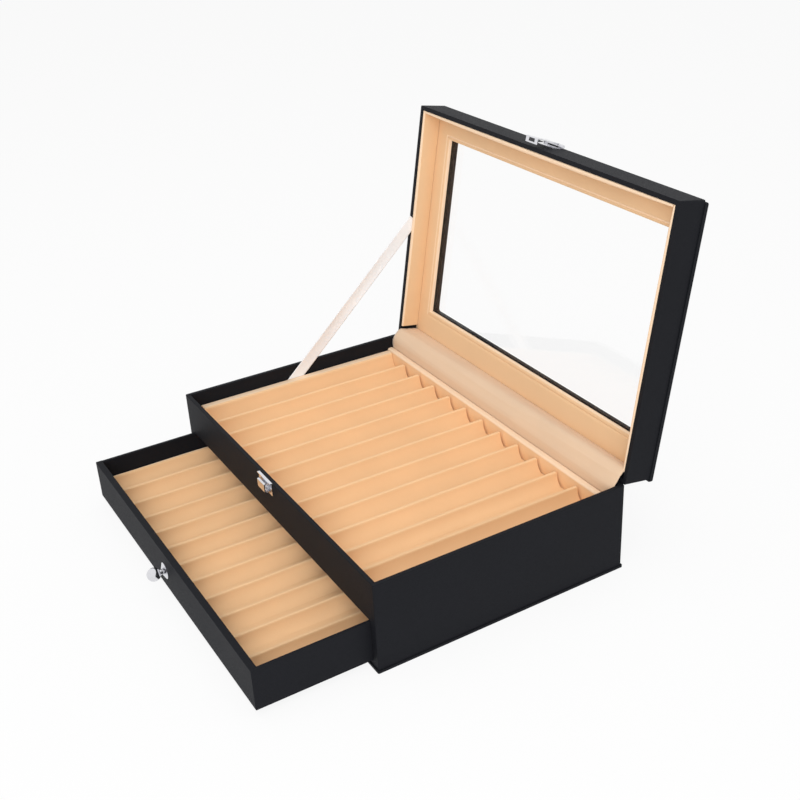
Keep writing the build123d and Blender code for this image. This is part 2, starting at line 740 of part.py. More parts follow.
# Ribbon stay: from behind the left rest straight up to the slot between lid rail and liner
with BuildPart() as ribbon_stay:
    ribbon_foot = Vector(0, -ribbon_foot_front, ribbon_foot_height)
    ribbon_head = lid_frame.from_local_coords((0, -ribbon_lid_place, 0))
    ribbon_run = ribbon_head - ribbon_foot
    ribbon_face = Vector((lining_gap + ribbon_thickness) / 2 - inner_half, 0, 0)
    ribbon_plane = Plane(
        origin=ribbon_foot + ribbon_face - ribbon_run.normalized() * ribbon_foot_tuck,
        x_dir=ribbon_run, z_dir=(-1, 0, 0),
    )
    with BuildSketch(ribbon_plane):
        Rectangle(
            ribbon_run.length + ribbon_foot_tuck + ribbon_lid_tuck, ribbon_width,
            align=(Align.MIN, Align.CENTER),
        )
    extrude(amount=ribbon_thickness)
ribbon_stay.part.label = "ribbon_stay"
export_step(ribbon_stay.part, "parts/ribbon_stay.step")
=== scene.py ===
"""Looks of a pen display case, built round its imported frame.

Metres, +Z up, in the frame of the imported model: the origin is the middle of
the case's plan on its underside and the case's front faces -Y. Boards and
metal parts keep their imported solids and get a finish. Padding, cloth and
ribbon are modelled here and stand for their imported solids.
"""

import json
import logging
import math
from abc import ABC, abstractmethod
from dataclasses import dataclass
from enum import Enum
from typing import Any, Callable, Sequence, Union

import bmesh
import bpy
from mathutils import Matrix, Vector, noise


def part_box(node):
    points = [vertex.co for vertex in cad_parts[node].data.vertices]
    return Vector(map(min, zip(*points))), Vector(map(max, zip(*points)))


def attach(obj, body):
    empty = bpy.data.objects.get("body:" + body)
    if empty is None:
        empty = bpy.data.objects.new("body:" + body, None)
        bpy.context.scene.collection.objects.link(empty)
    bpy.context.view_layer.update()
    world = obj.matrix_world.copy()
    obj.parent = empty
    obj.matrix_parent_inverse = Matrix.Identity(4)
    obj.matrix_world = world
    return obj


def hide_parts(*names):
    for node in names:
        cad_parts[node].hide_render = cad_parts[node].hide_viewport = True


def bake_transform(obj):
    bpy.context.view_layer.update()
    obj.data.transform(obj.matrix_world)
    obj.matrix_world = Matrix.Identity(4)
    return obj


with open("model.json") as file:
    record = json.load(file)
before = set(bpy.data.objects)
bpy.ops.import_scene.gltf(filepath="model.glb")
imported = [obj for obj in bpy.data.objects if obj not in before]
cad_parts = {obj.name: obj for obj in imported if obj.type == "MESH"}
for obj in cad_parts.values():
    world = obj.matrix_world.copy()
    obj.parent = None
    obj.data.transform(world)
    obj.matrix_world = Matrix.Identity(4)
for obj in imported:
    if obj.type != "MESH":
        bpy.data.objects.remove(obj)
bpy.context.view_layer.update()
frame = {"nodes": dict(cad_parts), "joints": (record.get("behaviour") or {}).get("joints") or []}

MM = 0.001
WELD_DISTANCE = 0.001 * MM
CORNER_ANGLE = math.radians(50)
CURVE_STEPS = 16
WHITE = (1.0, 1.0, 1.0, 1.0)
Socket = bpy.types.NodeSocket
Node = bpy.types.Node
Piece = bpy.types.Object
Colour = tuple[float, float, float]
Place = tuple[float, float, float]
Flat = tuple[float, float]
Inputs = dict[Union[int, str], Any]
Operand = Union["Value", float]
log = logging.getLogger("pen_case")


# Shader and geometry graphs


def math_node(operation: str, reflected: bool = False) -> Callable[["Value", Operand], "Value"]:
    """Makes an operator of Value that adds one Math node.

    Args:
        operation: The node's operation.
        reflected: Whether the other operand comes first.

    Returns:
        The operator.
    """

    def operator(value: "Value", other: Operand) -> "Value":
        """Adds the node to the value's graph."""
        sides = {0: other, 1: value} if reflected else {0: value, 1: other}
        return value.graph.value("ShaderNodeMath", sides, "Value", operation=operation)

    return operator


class Value:
    """A number socket whose arithmetic adds Math nodes."""

    def __init__(self, graph: "Graph", socket: Socket) -> None:
        """Keeps the graph and the output socket that it wraps."""
        self.graph = graph
        self.socket = socket

    __add__, __radd__ = math_node("ADD"), math_node("ADD", reflected=True)
    __sub__, __rsub__ = math_node("SUBTRACT"), math_node("SUBTRACT", reflected=True)
    __mul__, __rmul__ = math_node("MULTIPLY"), math_node("MULTIPLY", reflected=True)
    __truediv__, __rtruediv__ = math_node("DIVIDE"), math_node("DIVIDE", reflected=True)
    power = math_node("POWER")
    smallest = math_node("MINIMUM")
    largest = math_node("MAXIMUM")


class Graph:
    """Adds nodes to one node tree."""

    def __init__(self, tree: bpy.types.NodeTree) -> None:
        """Keeps the tree that it adds to."""
        self.tree = tree

    def node(self, kind: str, inputs: Inputs | None = None, **settings: Any) -> Node:
        """Adds a node, sets it up, then feeds its sockets.

        Args:
            kind: The node's type.
            inputs: Socket name or index to a plain value, a Value or an output socket.
            settings: The node's properties.

        Returns:
            The node.
        """
        made = self.tree.nodes.new(kind)
        for key, setting in settings.items():
            setattr(made, key, setting)
        for key, given in (inputs or {}).items():
            given = given.socket if isinstance(given, Value) else given
            if isinstance(given, Socket):
                self.tree.links.new(given, made.inputs[key])
            else:
                made.inputs[key].default_value = given
        return made

    def value(self, kind: str, inputs: Inputs, output: str, **settings: Any) -> Value:
        """Adds a node and wraps its output of that name."""
        return Value(self, self.node(kind, inputs, **settings).outputs[output])

    def parts(self, vector: Socket) -> list[Value]:
        """Splits a vector or colour into its three numbers."""
        split = self.node("ShaderNodeSeparateXYZ", {0: vector})
        return [Value(self, part) for part in split.outputs]

    def place(self) -> Socket:
        """Object coordinates, in metres."""
        return self.node("ShaderNodeTexCoord").outputs["Object"]

    def cloud(self, scale: float, detail: float = 3.0) -> Value:
        """Soft noise from 0 to 1, at features per metre and octaves of detail."""
        inputs = {"Vector": self.place(), "Scale": scale, "Detail": detail}
        return self.value("ShaderNodeTexNoise", inputs, "Fac")

    def bump(self, height: Value, depth: float) -> Socket:
        """A normal bent by a height, where a height of 1 is a depth in metres."""
        inputs = {"Height": height, "Distance": depth, "Strength": 1.0}
        return self.node("ShaderNodeBump", inputs).outputs[0]

    def seen(self) -> Value:
        """Tells rays that look, straight, in gloss or through the pane, from rays of light.

        Returns:
            1 for a ray that looks and 0 for any other.
        """
        path = self.node("ShaderNodeLightPath").outputs
        camera, gloss, through = (
            Value(self, path[f"Is {kind} Ray"]) for kind in ("Camera", "Glossy", "Transmission")
        )
        return (camera + gloss + through).smallest(1.0)


# Finishes


def linear(red: int, green: int, blue: int) -> Colour:
    """Turns a display colour of 0 to 255 into linear light."""
    shares = (red / 255, green / 255, blue / 255)
    return tuple(s / 12.92 if s <= 0.04045 else ((s + 0.055) / 1.055) ** 2.4 for s in shares)


@dataclass(frozen=True)
class Finish(ABC):
    """A surface finish, with the light of its darkest and its lightest tone."""

    name: str
    colour: Colour
    levels: Flat = (1.0, 1.0)

    def material(self) -> bpy.types.Material:
        """Builds the material, once.

        Returns:
            The material of this finish.
        """
        found = bpy.data.materials.get(self.name)
        if found is not None:
            return found
        made = bpy.data.materials.new(self.name)
        made.use_nodes = True
        made.node_tree.nodes.clear()
        graph = Graph(made.node_tree)
        shader = graph.node("ShaderNodeBsdfPrincipled", self.inputs(graph))
        graph.node("ShaderNodeOutputMaterial", {"Surface": self.cover(graph, shader).outputs[0]})
        made.diffuse_color = (*self.colour, 1.0)
        return made

    @abstractmethod
    def inputs(self, graph: Graph) -> Inputs:
        """Works out what feeds the Principled node's sockets."""

    def cover(self, graph: Graph, shader: Node) -> Node:
        """The node whose first output is the surface: here the shader itself."""
        return shader

    def tones(self, graph: Graph, share: Value) -> Socket:
        """Mixes the darkest and the lightest tone of the finish's colour.

        Args:
            graph: The material's graph.
            share: How much of the lightest tone shows.

        Returns:
            The colour socket.
        """
        dark, light = ((*(part * level for part in self.colour), 1.0) for level in self.levels)
        mixed = graph.node("ShaderNodeMix", {0: share, 6: dark, 7: light}, data_type="RGBA")
        return mixed.outputs[2]


@dataclass(frozen=True)
class Leatherette(Finish):
    """Pebbled leatherette glued on board."""

    levels: Flat = (0.72, 1.28)
    pebble: float = 0.9 * MM
    relief: float = 0.035 * MM
    crease: float = 0.22
    crease_shade_share: float = 0.35
    warp_scale: float = 0.4
    patch_scale: float = 14.0
    roughness: float = 0.5
    patch_dullness: float = 0.12
    crease_dullness: float = 0.1
    gloss: float = 0.09

    def inputs(self, graph: Graph) -> Inputs:
        """Pebbles between fine creases, a little duller on their tops, with painted shade darkening
        the creases so the tops read lighter.

        Args:
            graph: The material's graph.

        Returns:
            What feeds the shader.
        """
        where = graph.place()
        warp = graph.node(
            "ShaderNodeTexNoise", {"Vector": where, "Scale": self.warp_scale / self.pebble}
        )
        bent = graph.node(
            "ShaderNodeVectorMath", {0: warp.outputs["Color"], 1: (self.pebble,) * 3, 2: where},
            operation="MULTIPLY_ADD",
        )
        cells = graph.value(
            "ShaderNodeTexVoronoi", {"Vector": bent.outputs[0], "Scale": 1 / self.pebble},
            "Distance", feature="DISTANCE_TO_EDGE",
        )
        creases = cells.smallest(self.crease) / self.crease
        tone = graph.cloud(self.patch_scale)
        # Painted shade: colour darkens into the creases, mixed with random tone patches.
        shade = creases * self.crease_shade_share + tone * (1 - self.crease_shade_share)
        dullness = tone * self.patch_dullness + self.roughness
        return {
            "Base Color": self.tones(graph, shade),
            "Roughness": dullness + (1.0 - creases) * self.crease_dullness,
            "Normal": graph.bump(creases, self.relief),
            "Specular IOR Level": self.gloss,
        }


@dataclass(frozen=True)
class Velour(Finish):
    """Short brushed pile over foam."""

    levels: Flat = (0.9, 1.1)
    pile: float = 0.25 * MM
    pile_share: float = 0.3
    relief: float = 0.05 * MM
    patch_scale: float = 22.0
    roughness: float = 0.92
    gloss: float = 0.15
    sheen: float = 0.25
    sheen_roughness: float = 0.45
    sheen_tint: tuple[float, float, float, float] = (1.0, 0.86, 0.7, 1.0)

    def inputs(self, graph: Graph) -> Inputs:
        """Fine pile with soft brushed patches.

        Args:
            graph: The material's graph.

        Returns:
            What feeds the shader.
        """
        pile = graph.cloud(1 / self.pile, 2.0)
        patches = graph.cloud(self.patch_scale, 4.0) * (1 - self.pile_share)
        return {
            "Base Color": self.tones(graph, (patches + pile * self.pile_share).smallest(1.0)),
            "Normal": graph.bump(pile, self.relief),
            "Roughness": self.roughness,
            "Specular IOR Level": self.gloss,
            "Sheen Weight": self.sheen,
            "Sheen Roughness": self.sheen_roughness,
            "Sheen Tint": self.sheen_tint,
        }


@dataclass(frozen=True)
class Satin(Finish):
    """Smooth woven cloth with a faint rib across its run."""

    levels: Flat = (0.93, 1.05)
    rib: float = 0.35 * MM
    rib_sway: float = 0.4
    relief: float = 0.03 * MM
    patch_scale: float = 30.0
    roughness: float = 0.5
    shine: float = 0.3

    def inputs(self, graph: Graph) -> Inputs:
        """Ribs from the piece's own UV map, whose V runs along the cloth in metres.

        Args:
            graph: The material's graph.

        Returns:
            What feeds the shader.
        """
        run = graph.node("ShaderNodeUVMap", uv_map="cloth").outputs[0]
        rib = graph.value(
            "ShaderNodeTexWave",
            {"Vector": run, "Scale": 1 / (self.rib * 20), "Distortion": self.rib_sway},
            "Fac", bands_direction="Y",
        )
        return {
            "Base Color": self.tones(graph, graph.cloud(self.patch_scale)),
            "Normal": graph.bump(rib, self.relief),
            "Roughness": self.roughness,
            "Sheen Weight": self.shine,
        }


@dataclass(frozen=True)
class Nickel(Finish):
    """Bright plated metal with faint polishing marks."""

    levels: Flat = (0.9, 1.0)
    roughness: float = 0.12
    dullness: float = 0.1
    relief: float = 0.004 * MM
    cloud_scale: float = 260.0
    relief_scale: float = 900.0

    def inputs(self, graph: Graph) -> Inputs:
        """Mirror plate, slightly cloudy.

        Args:
            graph: The material's graph.

        Returns:
            What feeds the shader.
        """
        cloud = graph.cloud(self.cloud_scale, 2.0)
        return {
            "Base Color": self.tones(graph, cloud),
            "Roughness": cloud * self.dullness + self.roughness,
            "Normal": graph.bump(graph.cloud(self.relief_scale), self.relief),
            "Metallic": 1.0,
        }


@dataclass(frozen=True)
class ClearPane(Finish):
    """Clear window pane: see-through, with the gloss of its surface."""

    gloss: float = 0.02
    glance: float = 0.9
    glance_power: float = 5.0
    cloud_scale: float = 40.0
    roughness: float = 0.02

    def inputs(self, graph: Graph) -> Inputs:
        """A mirror for the gloss, faintly uneven.

        Args:
            graph: The material's graph.

        Returns:
            What feeds the shader.
        """
        return {
            "Base Color": (*self.colour, 1.0),
            "Metallic": 1.0,
            "Roughness": graph.cloud(self.cloud_scale) * self.roughness + self.roughness,
        }

    def cover(self, graph: Graph, shader: Node) -> Node:
        """Lets light through, with a gloss that grows at a glance.

        Args:
            graph: The material's graph.
            shader: The mirror.

        Returns:
            The node whose first output is the surface.
        """
        clear = graph.node("ShaderNodeBsdfTransparent", {"Color": WHITE})
        facing = graph.value("ShaderNodeLayerWeight", {"Blend": 0.5}, "Facing")
        share = facing.power(self.glance_power) * self.glance + self.gloss
        inputs = {0: share, 1: clear.outputs[0], 2: shader.outputs[0]}
        return graph.node("ShaderNodeMixShader", inputs)


@dataclass(frozen=True)
class PaleFloor(Finish):
    """Floor that reads as white and keeps a soft shadow."""

    glow: float = 0.88

    def inputs(self, graph: Graph) -> Inputs:
        """Matte white."""
        return {"Base Color": (*self.colour, 1.0), "Roughness": 0.9, "Specular IOR Level": 0.0}

    def cover(self, graph: Graph, shader: Node) -> Node:
        """Lifts the floor where it is seen straight, in gloss or through the pane.

        Args:
            graph: The material's graph.
            shader: The matte floor.

        Returns:
            The node whose first output is the surface.
        """
        lift = graph.node("ShaderNodeEmission", {"Color": WHITE, "Strength": 1.0})
        inputs = {0: graph.seen() * self.glow, 1: shader.outputs[0], 2: lift.outputs[0]}
        return graph.node("ShaderNodeMixShader", inputs)


class Look(Enum):
    """The finishes of this case."""

    LEATHER = Leatherette("black_leatherette", linear(26, 27, 31))
    TRAY = Velour("tan_velour", linear(240, 200, 155))
    LID = Velour("lid_velour", linear(234, 197, 155), (0.93, 1.07))
    # Painted highlight: paler velour where light catches the tops of rests and the edges of
    # linings.
    EDGE = Velour("pale_velour_edge", linear(246, 216, 184), (0.95, 1.05))
    HINGE = Satin("pale_tan_satin", linear(226, 195, 163), rib=0.5 * MM, roughness=0.6)
    RIBBON = Satin(
        "white_satin", linear(246, 248, 250), rib=0.3 * MM, roughness=0.38, shine=0.5
    )
    NICKEL = Nickel("bright_nickel", linear(226, 226, 230))
    PANE = ClearPane("clear_pane", (1.0, 1.0, 1.0))
    FLOOR = PaleFloor("pale_floor", (0.9, 0.9, 0.9))


# Meshes


def add_object(name: str, data: Any) -> Piece:
    """Makes an object at the origin and links it to the scene.

    Args:
        name: Its name.
        data: Its mesh, curve, light or camera.

    Returns:
        The object.
    """
    made = bpy.data.objects.new(name, data)
    bpy.context.scene.collection.objects.link(made)
    return made


def clean(mesh: bpy.types.Mesh) -> None:
    """Merges doubled points, turns faces outwards, and shades softly with crisp corners.

    Args:
        mesh: The mesh.
    """
    work = bmesh.new()
    work.from_mesh(mesh)
    bmesh.ops.remove_doubles(work, verts=work.verts, dist=WELD_DISTANCE)
    bmesh.ops.recalc_face_normals(work, faces=work.faces)
    work.to_mesh(mesh)
    work.free()
    mesh.shade_smooth()
    mesh.set_sharp_from_angle(angle=CORNER_ANGLE)


def applied(piece: Piece) -> bpy.types.Mesh:
    """A plain mesh of a piece with its modifiers applied."""
    depsgraph = bpy.context.evaluated_depsgraph_get()
    return bpy.data.meshes.new_from_object(piece.evaluated_get(depsgraph), depsgraph=depsgraph)


def make_piece(
    name: str, points: Sequence[Vector], faces: Sequence[Sequence[int]], look: Look
) -> Piece:
    """Makes a mesh object at the origin, with faces turned outwards.

    Args:
        name: The piece's name.
        points: Its points, in metres, in the model's frame.
        faces: Its faces, as point indices.
        look: Its finish.

    Returns:
        The object.
    """
    mesh = bpy.data.meshes.new(name)
    mesh.from_pydata([tuple(p) for p in points], [], faces)
    clean(mesh)
    mesh.materials.append(look.value.material())
    return add_object(name, mesh)


def paint_highlight(piece: Piece, wanted: Callable[[Vector, Vector], bool]) -> None:
    """Gives the wanted faces a painted highlight: paler velour where light catches padded tops and
    edges.

    Args:
        piece: The piece.
        wanted: Says whether a face gets the painted highlight, from its middle and its normal.
    """
    piece.data.materials.append(Look.EDGE.value.material())
    for face in piece.data.polygons:
        if wanted(face.center, face.normal):
            face.material_index = 1


def loft(
    rings: Sequence[Sequence[Vector]], endless: bool = False
) -> tuple[list[Vector], list[list[int]]]:
    """Skins closed rings of equal counts.

    Args:
        rings: The rings, in order.
        endless: Whether the last ring meets the first, or else both ends are capped.

    Returns:
        Points and faces.
    """
    count = len(rings[0])
    faces = []
    for row in range(len(rings) if endless else len(rings) - 1):
        low, high = row * count, (row + 1) % len(rings) * count
        for k in range(count):
            after = (k + 1) % count
            faces.append([low + k, low + after, high + after, high + k])
    if not endless:
        last = (len(rings) - 1) * count
        faces += [list(range(count)), list(range(last, last + count))]
    return [point for ring in rings for point in ring], faces


def arc(centre: Flat, radius: float, start: float, end: float, steps: int) -> list[Flat]:
    """Points of a flat arc from one angle in degrees to another, both ends included."""
    angles = (math.radians(start + (end - start) * k / steps) for k in range(steps + 1))
    return [(centre[0] + radius * math.cos(a), centre[1] + radius * math.sin(a)) for a in angles]


def hollow_flank(top: Flat, foot: Flat, hollow: float, steps: int) -> list[Flat]:
    """Flank of a pad that sags below the straight line from its top to its foot.

    Args:
        top: Where it starts, across and up.
        foot: Where it meets the floor.
        hollow: Deepest sag.
        steps: Number of segments.

    Returns:
        The points, without the top.
    """
    start = Vector(top)
    run = Vector(foot) - start
    across = Vector((run.y, -run.x)).normalized() * math.copysign(1.0, run.x)
    flank = []
    for k in range(1, steps + 1):
        share = k / steps
        flank.append(tuple(start + run * share + across * (4 * hollow * share * (1 - share))))
    return flank


def block_top(start: float, end: float, top: float, edges: Flat) -> list[Flat]:
    """Top of a padded block, with its two edges rounded.

    Args:
        start: Where the block starts.
        end: Where it ends.
        top: Its height.
        edges: Radius of its first and of its last edge.

    Returns:
        The points from the first edge to the last.
    """
    first, last = edges
    return [
        *arc((start + first, top - first), first, 180, 90, edge_steps(first)),
        *arc((end - last, top - last), last, 90, 0, edge_steps(last)),
    ]


def edge_steps(radius: float) -> int:
    """Segments that a padded edge of this radius needs."""
    return 4 if radius > 1 * MM else 3


def mirrored(outline: Sequence[Flat]) -> list[Flat]:
    """The outline's mirror image across the middle, in reverse order."""
    return [(-x, z) for x, z in reversed(outline)]


def stations(
    low: float, high: float, end_zone: float, end_steps: int, middle_steps: int
) -> list[float]:
    """Places along a pad, closer together near both ends.

    Args:
        low: First place.
        high: Last place.
        end_zone: Length of each dense end.
        end_steps: Steps in each dense end.
        middle_steps: Steps between them.

    Returns:
        The places in order.
    """
    turns = (math.pi / 2 * k / end_steps for k in range(end_steps))
    first = [low + end_zone * (1 - math.cos(turn)) for turn in turns]
    start, run = low + end_zone, high - low - 2 * end_zone
    middle = [start + run * k / middle_steps for k in range(middle_steps + 1)]
    last = [high + low - place for place in reversed(first)]
    return first + middle + last


@dataclass(frozen=True)
class Waver:
    """Slight smooth unevenness, by its depth, its features per metre and its seed."""

    depth: float
    scale: float
    seed: float

    def at(self, point: Vector) -> float:
        """Shift at a point, between the depth and minus the depth."""
        away = Vector((self.seed, self.seed * 1.7, self.seed * 0.3))
        return self.depth * noise.noise(point * self.scale + away)


def dress_nodes(look: Look, *nodes: str) -> None:
    """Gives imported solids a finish.

    Args:
        look: The finish.
        nodes: The nodes' names.
    """
    for node in nodes:
        materials = frame["nodes"][node].data.materials
        materials.clear()
        materials.append(look.value.material())
        log.info("%s: packed solid, %s", node, look.name.lower())


def settle(pad: Piece, body: str, nodes: Sequence[str]) -> None:
    """Puts a finished pad on its body.

    Args:
        pad: The pad.
        body: The body it moves with.
        nodes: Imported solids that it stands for.
    """
    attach(pad, body)
    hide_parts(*nodes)
    log.info("%s: on %s, %d faces", pad.name, body, len(pad.data.polygons))


@dataclass(frozen=True)
class LidPlace:
    """Where the lid lies at rest, from its hinge's line and its swing."""

    hinge_y: float
    hinge_z: float
    swing: float

    @classmethod
    def from_joint(cls, name: str) -> "LidPlace":
        """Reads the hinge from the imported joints.

        Args:
            name: The joint's name.

        Returns:
            The lid's place.
        """
        joint = next(j for j in frame["joints"] if j["name"] == name)
        _, y, z = joint["pos_m"]
        return cls(y, z, math.radians(joint["range_deg"][1]))

    def point(self, x: float, u: float, w: float) -> Vector:
        """A point x along the case, u from the hinge and w outwards from the lid's mouth."""
        cos, sin = math.cos(self.swing), math.sin(self.swing)
        return Vector((x, self.hinge_y - u * cos + w * sin, self.hinge_z + u * sin + w * cos))

    @property
    def outward(self) -> Vector:
        """Direction from the lid's mouth to its outer board."""
        return Vector((0.0, math.sin(self.swing), math.cos(self.swing)))


LID = LidPlace.from_joint("lid_hinge")


# Sub-assemblies


@dataclass
class RidgeRow:
    """A geometry graph that sweeps a section along a path and repeats it in a row."""

    sizes: dict[str, Any]
    sway_scale: float = 26.0
    sockets: tuple[tuple[str, str], ...] = (
        ("Section", "Object"), ("Path", "Object"), ("Count", "Int"), ("Pitch", "Float"),
        ("Wobble", "Float"), ("Rise", "Float"), ("End Round", "Float"), ("Near End", "Float"),
        ("Far End", "Float"), ("First", "Vector"), ("Finish", "Material"),
    )

    def build(self, name: str) -> Piece:
        """Runs the graph and keeps its result as a plain mesh.

        Args:
            name: The row's name.

        Returns:
            The row at its place.
        """
        carrier = add_object(name + "_carrier", bpy.data.meshes.new(name))
        modifier = carrier.modifiers.new("row", "NODES")
        modifier.node_group = self._tree()
        for item in modifier.node_group.interface.items_tree:
            if item.name in self.sizes:
                modifier[item.identifier] = self.sizes[item.name]
        mesh = applied(carrier)
        carrier.modifiers.clear()
        bpy.data.objects.remove(carrier)
        clean(mesh)
        return add_object(name, mesh)

    def _tree(self) -> bpy.types.NodeTree:
        """Builds the graph.

        Returns:
            The geometry node tree.
        """
        tree = bpy.data.node_groups.new("padded_ridges", "GeometryNodeTree")
        for label, kind in self.sockets:
            tree.interface.new_socket(label, in_out="INPUT", socket_type="NodeSocket" + kind)
        tree.interface.new_socket("Row", in_out="OUTPUT", socket_type="NodeSocketGeometry")
        graph = Graph(tree)
        given = graph.node("NodeGroupInput").outputs
        section, path = (
            graph.node("GeometryNodeObjectInfo", {"Object": given[label]}).outputs["Geometry"]
            for label in ("Section", "Path")
        )
        swept = graph.node("GeometryNodeCurveToMesh", {
            "Curve": path, "Profile Curve": section, "Fill Caps": True,
        })
        step = graph.node("ShaderNodeCombineXYZ", {"X": given["Pitch"]})
        line = graph.node("GeometryNodeMeshLine", {
            "Count": given["Count"], "Start Location": given["First"], "Offset": step.outputs[0],
        }, mode="OFFSET")
        row = graph.node("GeometryNodeInstanceOnPoints", {
            "Points": line.outputs[0], "Instance": swept.outputs[0],
        })
        real = graph.node("GeometryNodeRealizeInstances", {0: row.outputs[0]})
        soft = self._soften(graph, given, real.outputs[0])
        done = graph.node("GeometryNodeSetMaterial", {
            "Geometry": soft, "Material": given["Finish"],
        })
        graph.node("NodeGroupOutput", {"Row": done.outputs[0]})
        return tree

    def _soften(self, graph: Graph, given: bpy.types.NodeOutputs, geometry: Socket) -> Socket:
        """Rounds the crest at both ends and lets the foam waver.

        Args:
            graph: The geometry graph.
            given: The group's inputs.
            geometry: The row of ridges.

        Returns:
            The softened row.
        """
        at = graph.node("GeometryNodeInputPosition").outputs[0]
        across, along, up = graph.parts(at)
        floor = graph.parts(given["First"])[2]
        radius, rise, wobble, near_end, far_end = (
            Value(graph, given[label])
            for label in ("End Round", "Rise", "Wobble", "Near End", "Far End")
        )
        near, far = (along - near_end).largest(0.0), (far_end - along).largest(0.0)
        inset = (radius - near.smallest(far)).largest(0.0)
        drop = radius - (radius * radius - inset * inset).largest(0.0).power(0.5)
        capped = (up - floor).smallest(rise - drop)
        drift = graph.node("ShaderNodeTexNoise", {
            "Vector": at, "Scale": self.sway_scale, "Detail": 1.0,
        })
        sway_x, _, sway_z = graph.parts(drift.outputs["Color"])
        share = capped / rise
        x = across + (sway_x - 0.5) * 2.0 * wobble * share
        z = floor + capped - sway_z * wobble * share
        moved = graph.node("ShaderNodeCombineXYZ", {"X": x, "Y": along, "Z": z})
        placed = graph.node("GeometryNodeSetPosition", {0: geometry, "Position": moved.outputs[0]})
        return placed.outputs[0]


@dataclass
class PaddedStorey:
    """One storey of pen slots: padded ridges in a row over a padded bed."""

    body: str
    prefix: str
    rest_width: float = 8.8 * MM
    slot_count: int = 12
    crest_radius: float = 1.4 * MM
    spread: float = 6.2 * MM
    hollow: float = 1.65 * MM
    end_round: float = 1.2 * MM
    end_gap: float = 1.3 * MM
    wobble: float = 0.45 * MM
    lift: Waver = Waver(0.1575 * MM, 28.0, 3.0)
    sway: Waver = Waver(0.225 * MM, 18.0, 9.0)
    rest_round: float = 1.6 * MM
    highlight_share: float = 0.4
    end_zone: float = 2 * MM
    glued: float = 0.1 * MM
    level: float = 1.0 * MM
    rest_turn: float = 165.0
    crest_steps: int = 7
    ridge_flank_steps: int = 9
    bed_flank_steps: int = 10
    round_steps: int = 4
    ridge_end_steps: int = 5
    bed_end_steps: int = 2
    ridge_steps: int = 40
    bed_steps: int = 46
    floor_steps: int = 60
    ridge_fill: float = 0.8
    bed_fill: float = 0.7

    def ridge_nodes(self) -> list[str]:
        """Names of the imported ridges."""
        return [f"{self.prefix}_divider_{k:02d}" for k in range(1, self.slot_count)]

    def ridge_profile(self, rise: float) -> list[Flat]:
        """Closed outline of a ridge's section, crest up, floor at 0.

        Args:
            rise: Height of the crest over the floor.

        Returns:
            Points of (x, z) in order.
        """
        shoulder = rise - self.crest_radius
        foot = (self.crest_radius + self.spread, 0.0)
        right = arc((0.0, shoulder), self.crest_radius, 90, 0, self.crest_steps)
        top = (self.crest_radius, shoulder)
        right += hollow_flank(top, foot, self.hollow, self.ridge_flank_steps)
        return right + [(0.0, 0.0)] + mirrored(right)[:-1]

    def build_ridges(self) -> None:
        """Makes the row of ridges from one section, path and pitch."""
        nodes = self.ridge_nodes()
        low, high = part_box(nodes[0])
        rise = high.z - low.z
        near, far = low.y, high.y - self.end_gap
        section = self._line("ridge_section", [(x, -z, 0.0) for x, z in self.ridge_profile(rise)])
        section.data.splines[0].use_cyclic_u = True
        places = stations(near, far, self.end_round, self.ridge_end_steps, self.ridge_steps)
        path = self._line("ridge_path", [(0.0, y, 0.0) for y in places])
        row = RidgeRow({
            "Section": section, "Path": path, "Count": len(nodes),
            "Pitch": (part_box(nodes[-1])[0].x - low.x) / (len(nodes) - 1),
            "Wobble": self.wobble, "Rise": rise, "End Round": self.end_round,
            "Near End": near, "Far End": far,
            "First": Vector(((low.x + high.x) / 2, 0.0, low.z)),
            "Finish": Look.TRAY.value.material(),
        }).build(f"{self.prefix}_ridges")
        for helper in (section, path):
            bpy.data.curves.remove(helper.data)
        settle(row, self.body, nodes)

    @staticmethod
    def _line(name: str, points: Sequence[Place]) -> Piece:
        """A poly curve that the geometry graph reads.

        Args:
            name: The curve's name.
            points: Its points.

        Returns:
            The curve object.
        """
        curve = bpy.data.curves.new(name, "CURVE")
        curve.dimensions = "3D"
        spline = curve.splines.new("POLY")
        spline.points.add(len(points) - 1)
        for point, place in zip(spline.points, points):
            point.co = (*place, 1.0)
        return add_object(name, curve)

    def build_bed(self) -> None:
        """Makes the bed: floor and two side rests as one wrapped pad."""
        node = f"{self.prefix}_bed"
        low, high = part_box(node)
        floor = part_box(self.ridge_nodes()[0])[0].z
        rest = high.x - self.rest_width
        rings = []
        for y in stations(low.y, high.y, self.end_zone, self.bed_end_steps, self.bed_steps):
            ring = []
            for x, z in self._bed_section(low, high, floor):
                point = Vector((x, y, z))
                if z > low.z + self.glued:
                    point.z += self.lift.at(point)
                if z > floor + self.level and abs(x) < high.x:
                    point.x += self.sway.at(point)
                ring.append(point)
            rings.append(ring)
        bed = make_piece(f"{node}_padding", *loft(rings), Look.TRAY)
        # Painted highlight on the outer tops of the side rests.
        paint_highlight(bed, lambda middle, _: (
            middle.z > high.z - self.rest_round
            and abs(middle.x) > rest + self.highlight_share * self.rest_width
        ))
        settle(bed, self.body, [node])

    def _bed_section(self, low: Vector, high: Vector, floor: float) -> list[Flat]:
        """Closed outline of the bed's section.

        Args:
            low: Lowest corner of the bed.
            high: Highest corner.
            floor: Height of the slots' floor.

        Returns:
            Points of (x, z) in order.
        """
        rest, edge, steps = high.x - self.rest_width, self.rest_round, self.round_steps
        top, foot = high.z - edge, (rest - self.spread, floor)
        right = [
            (high.x, low.z),
            *arc((high.x - edge, top), edge, 0, 90, steps),
            *arc((rest + edge, top), edge, 90, self.rest_turn, steps),
            *hollow_flank((rest, top), foot, self.hollow, self.bed_flank_steps),
        ]
        inner, steps = right[-1][0], self.floor_steps
        across = [(inner - 2 * inner * k / steps, floor) for k in range(1, steps)]
        return right + across + mirrored(right)


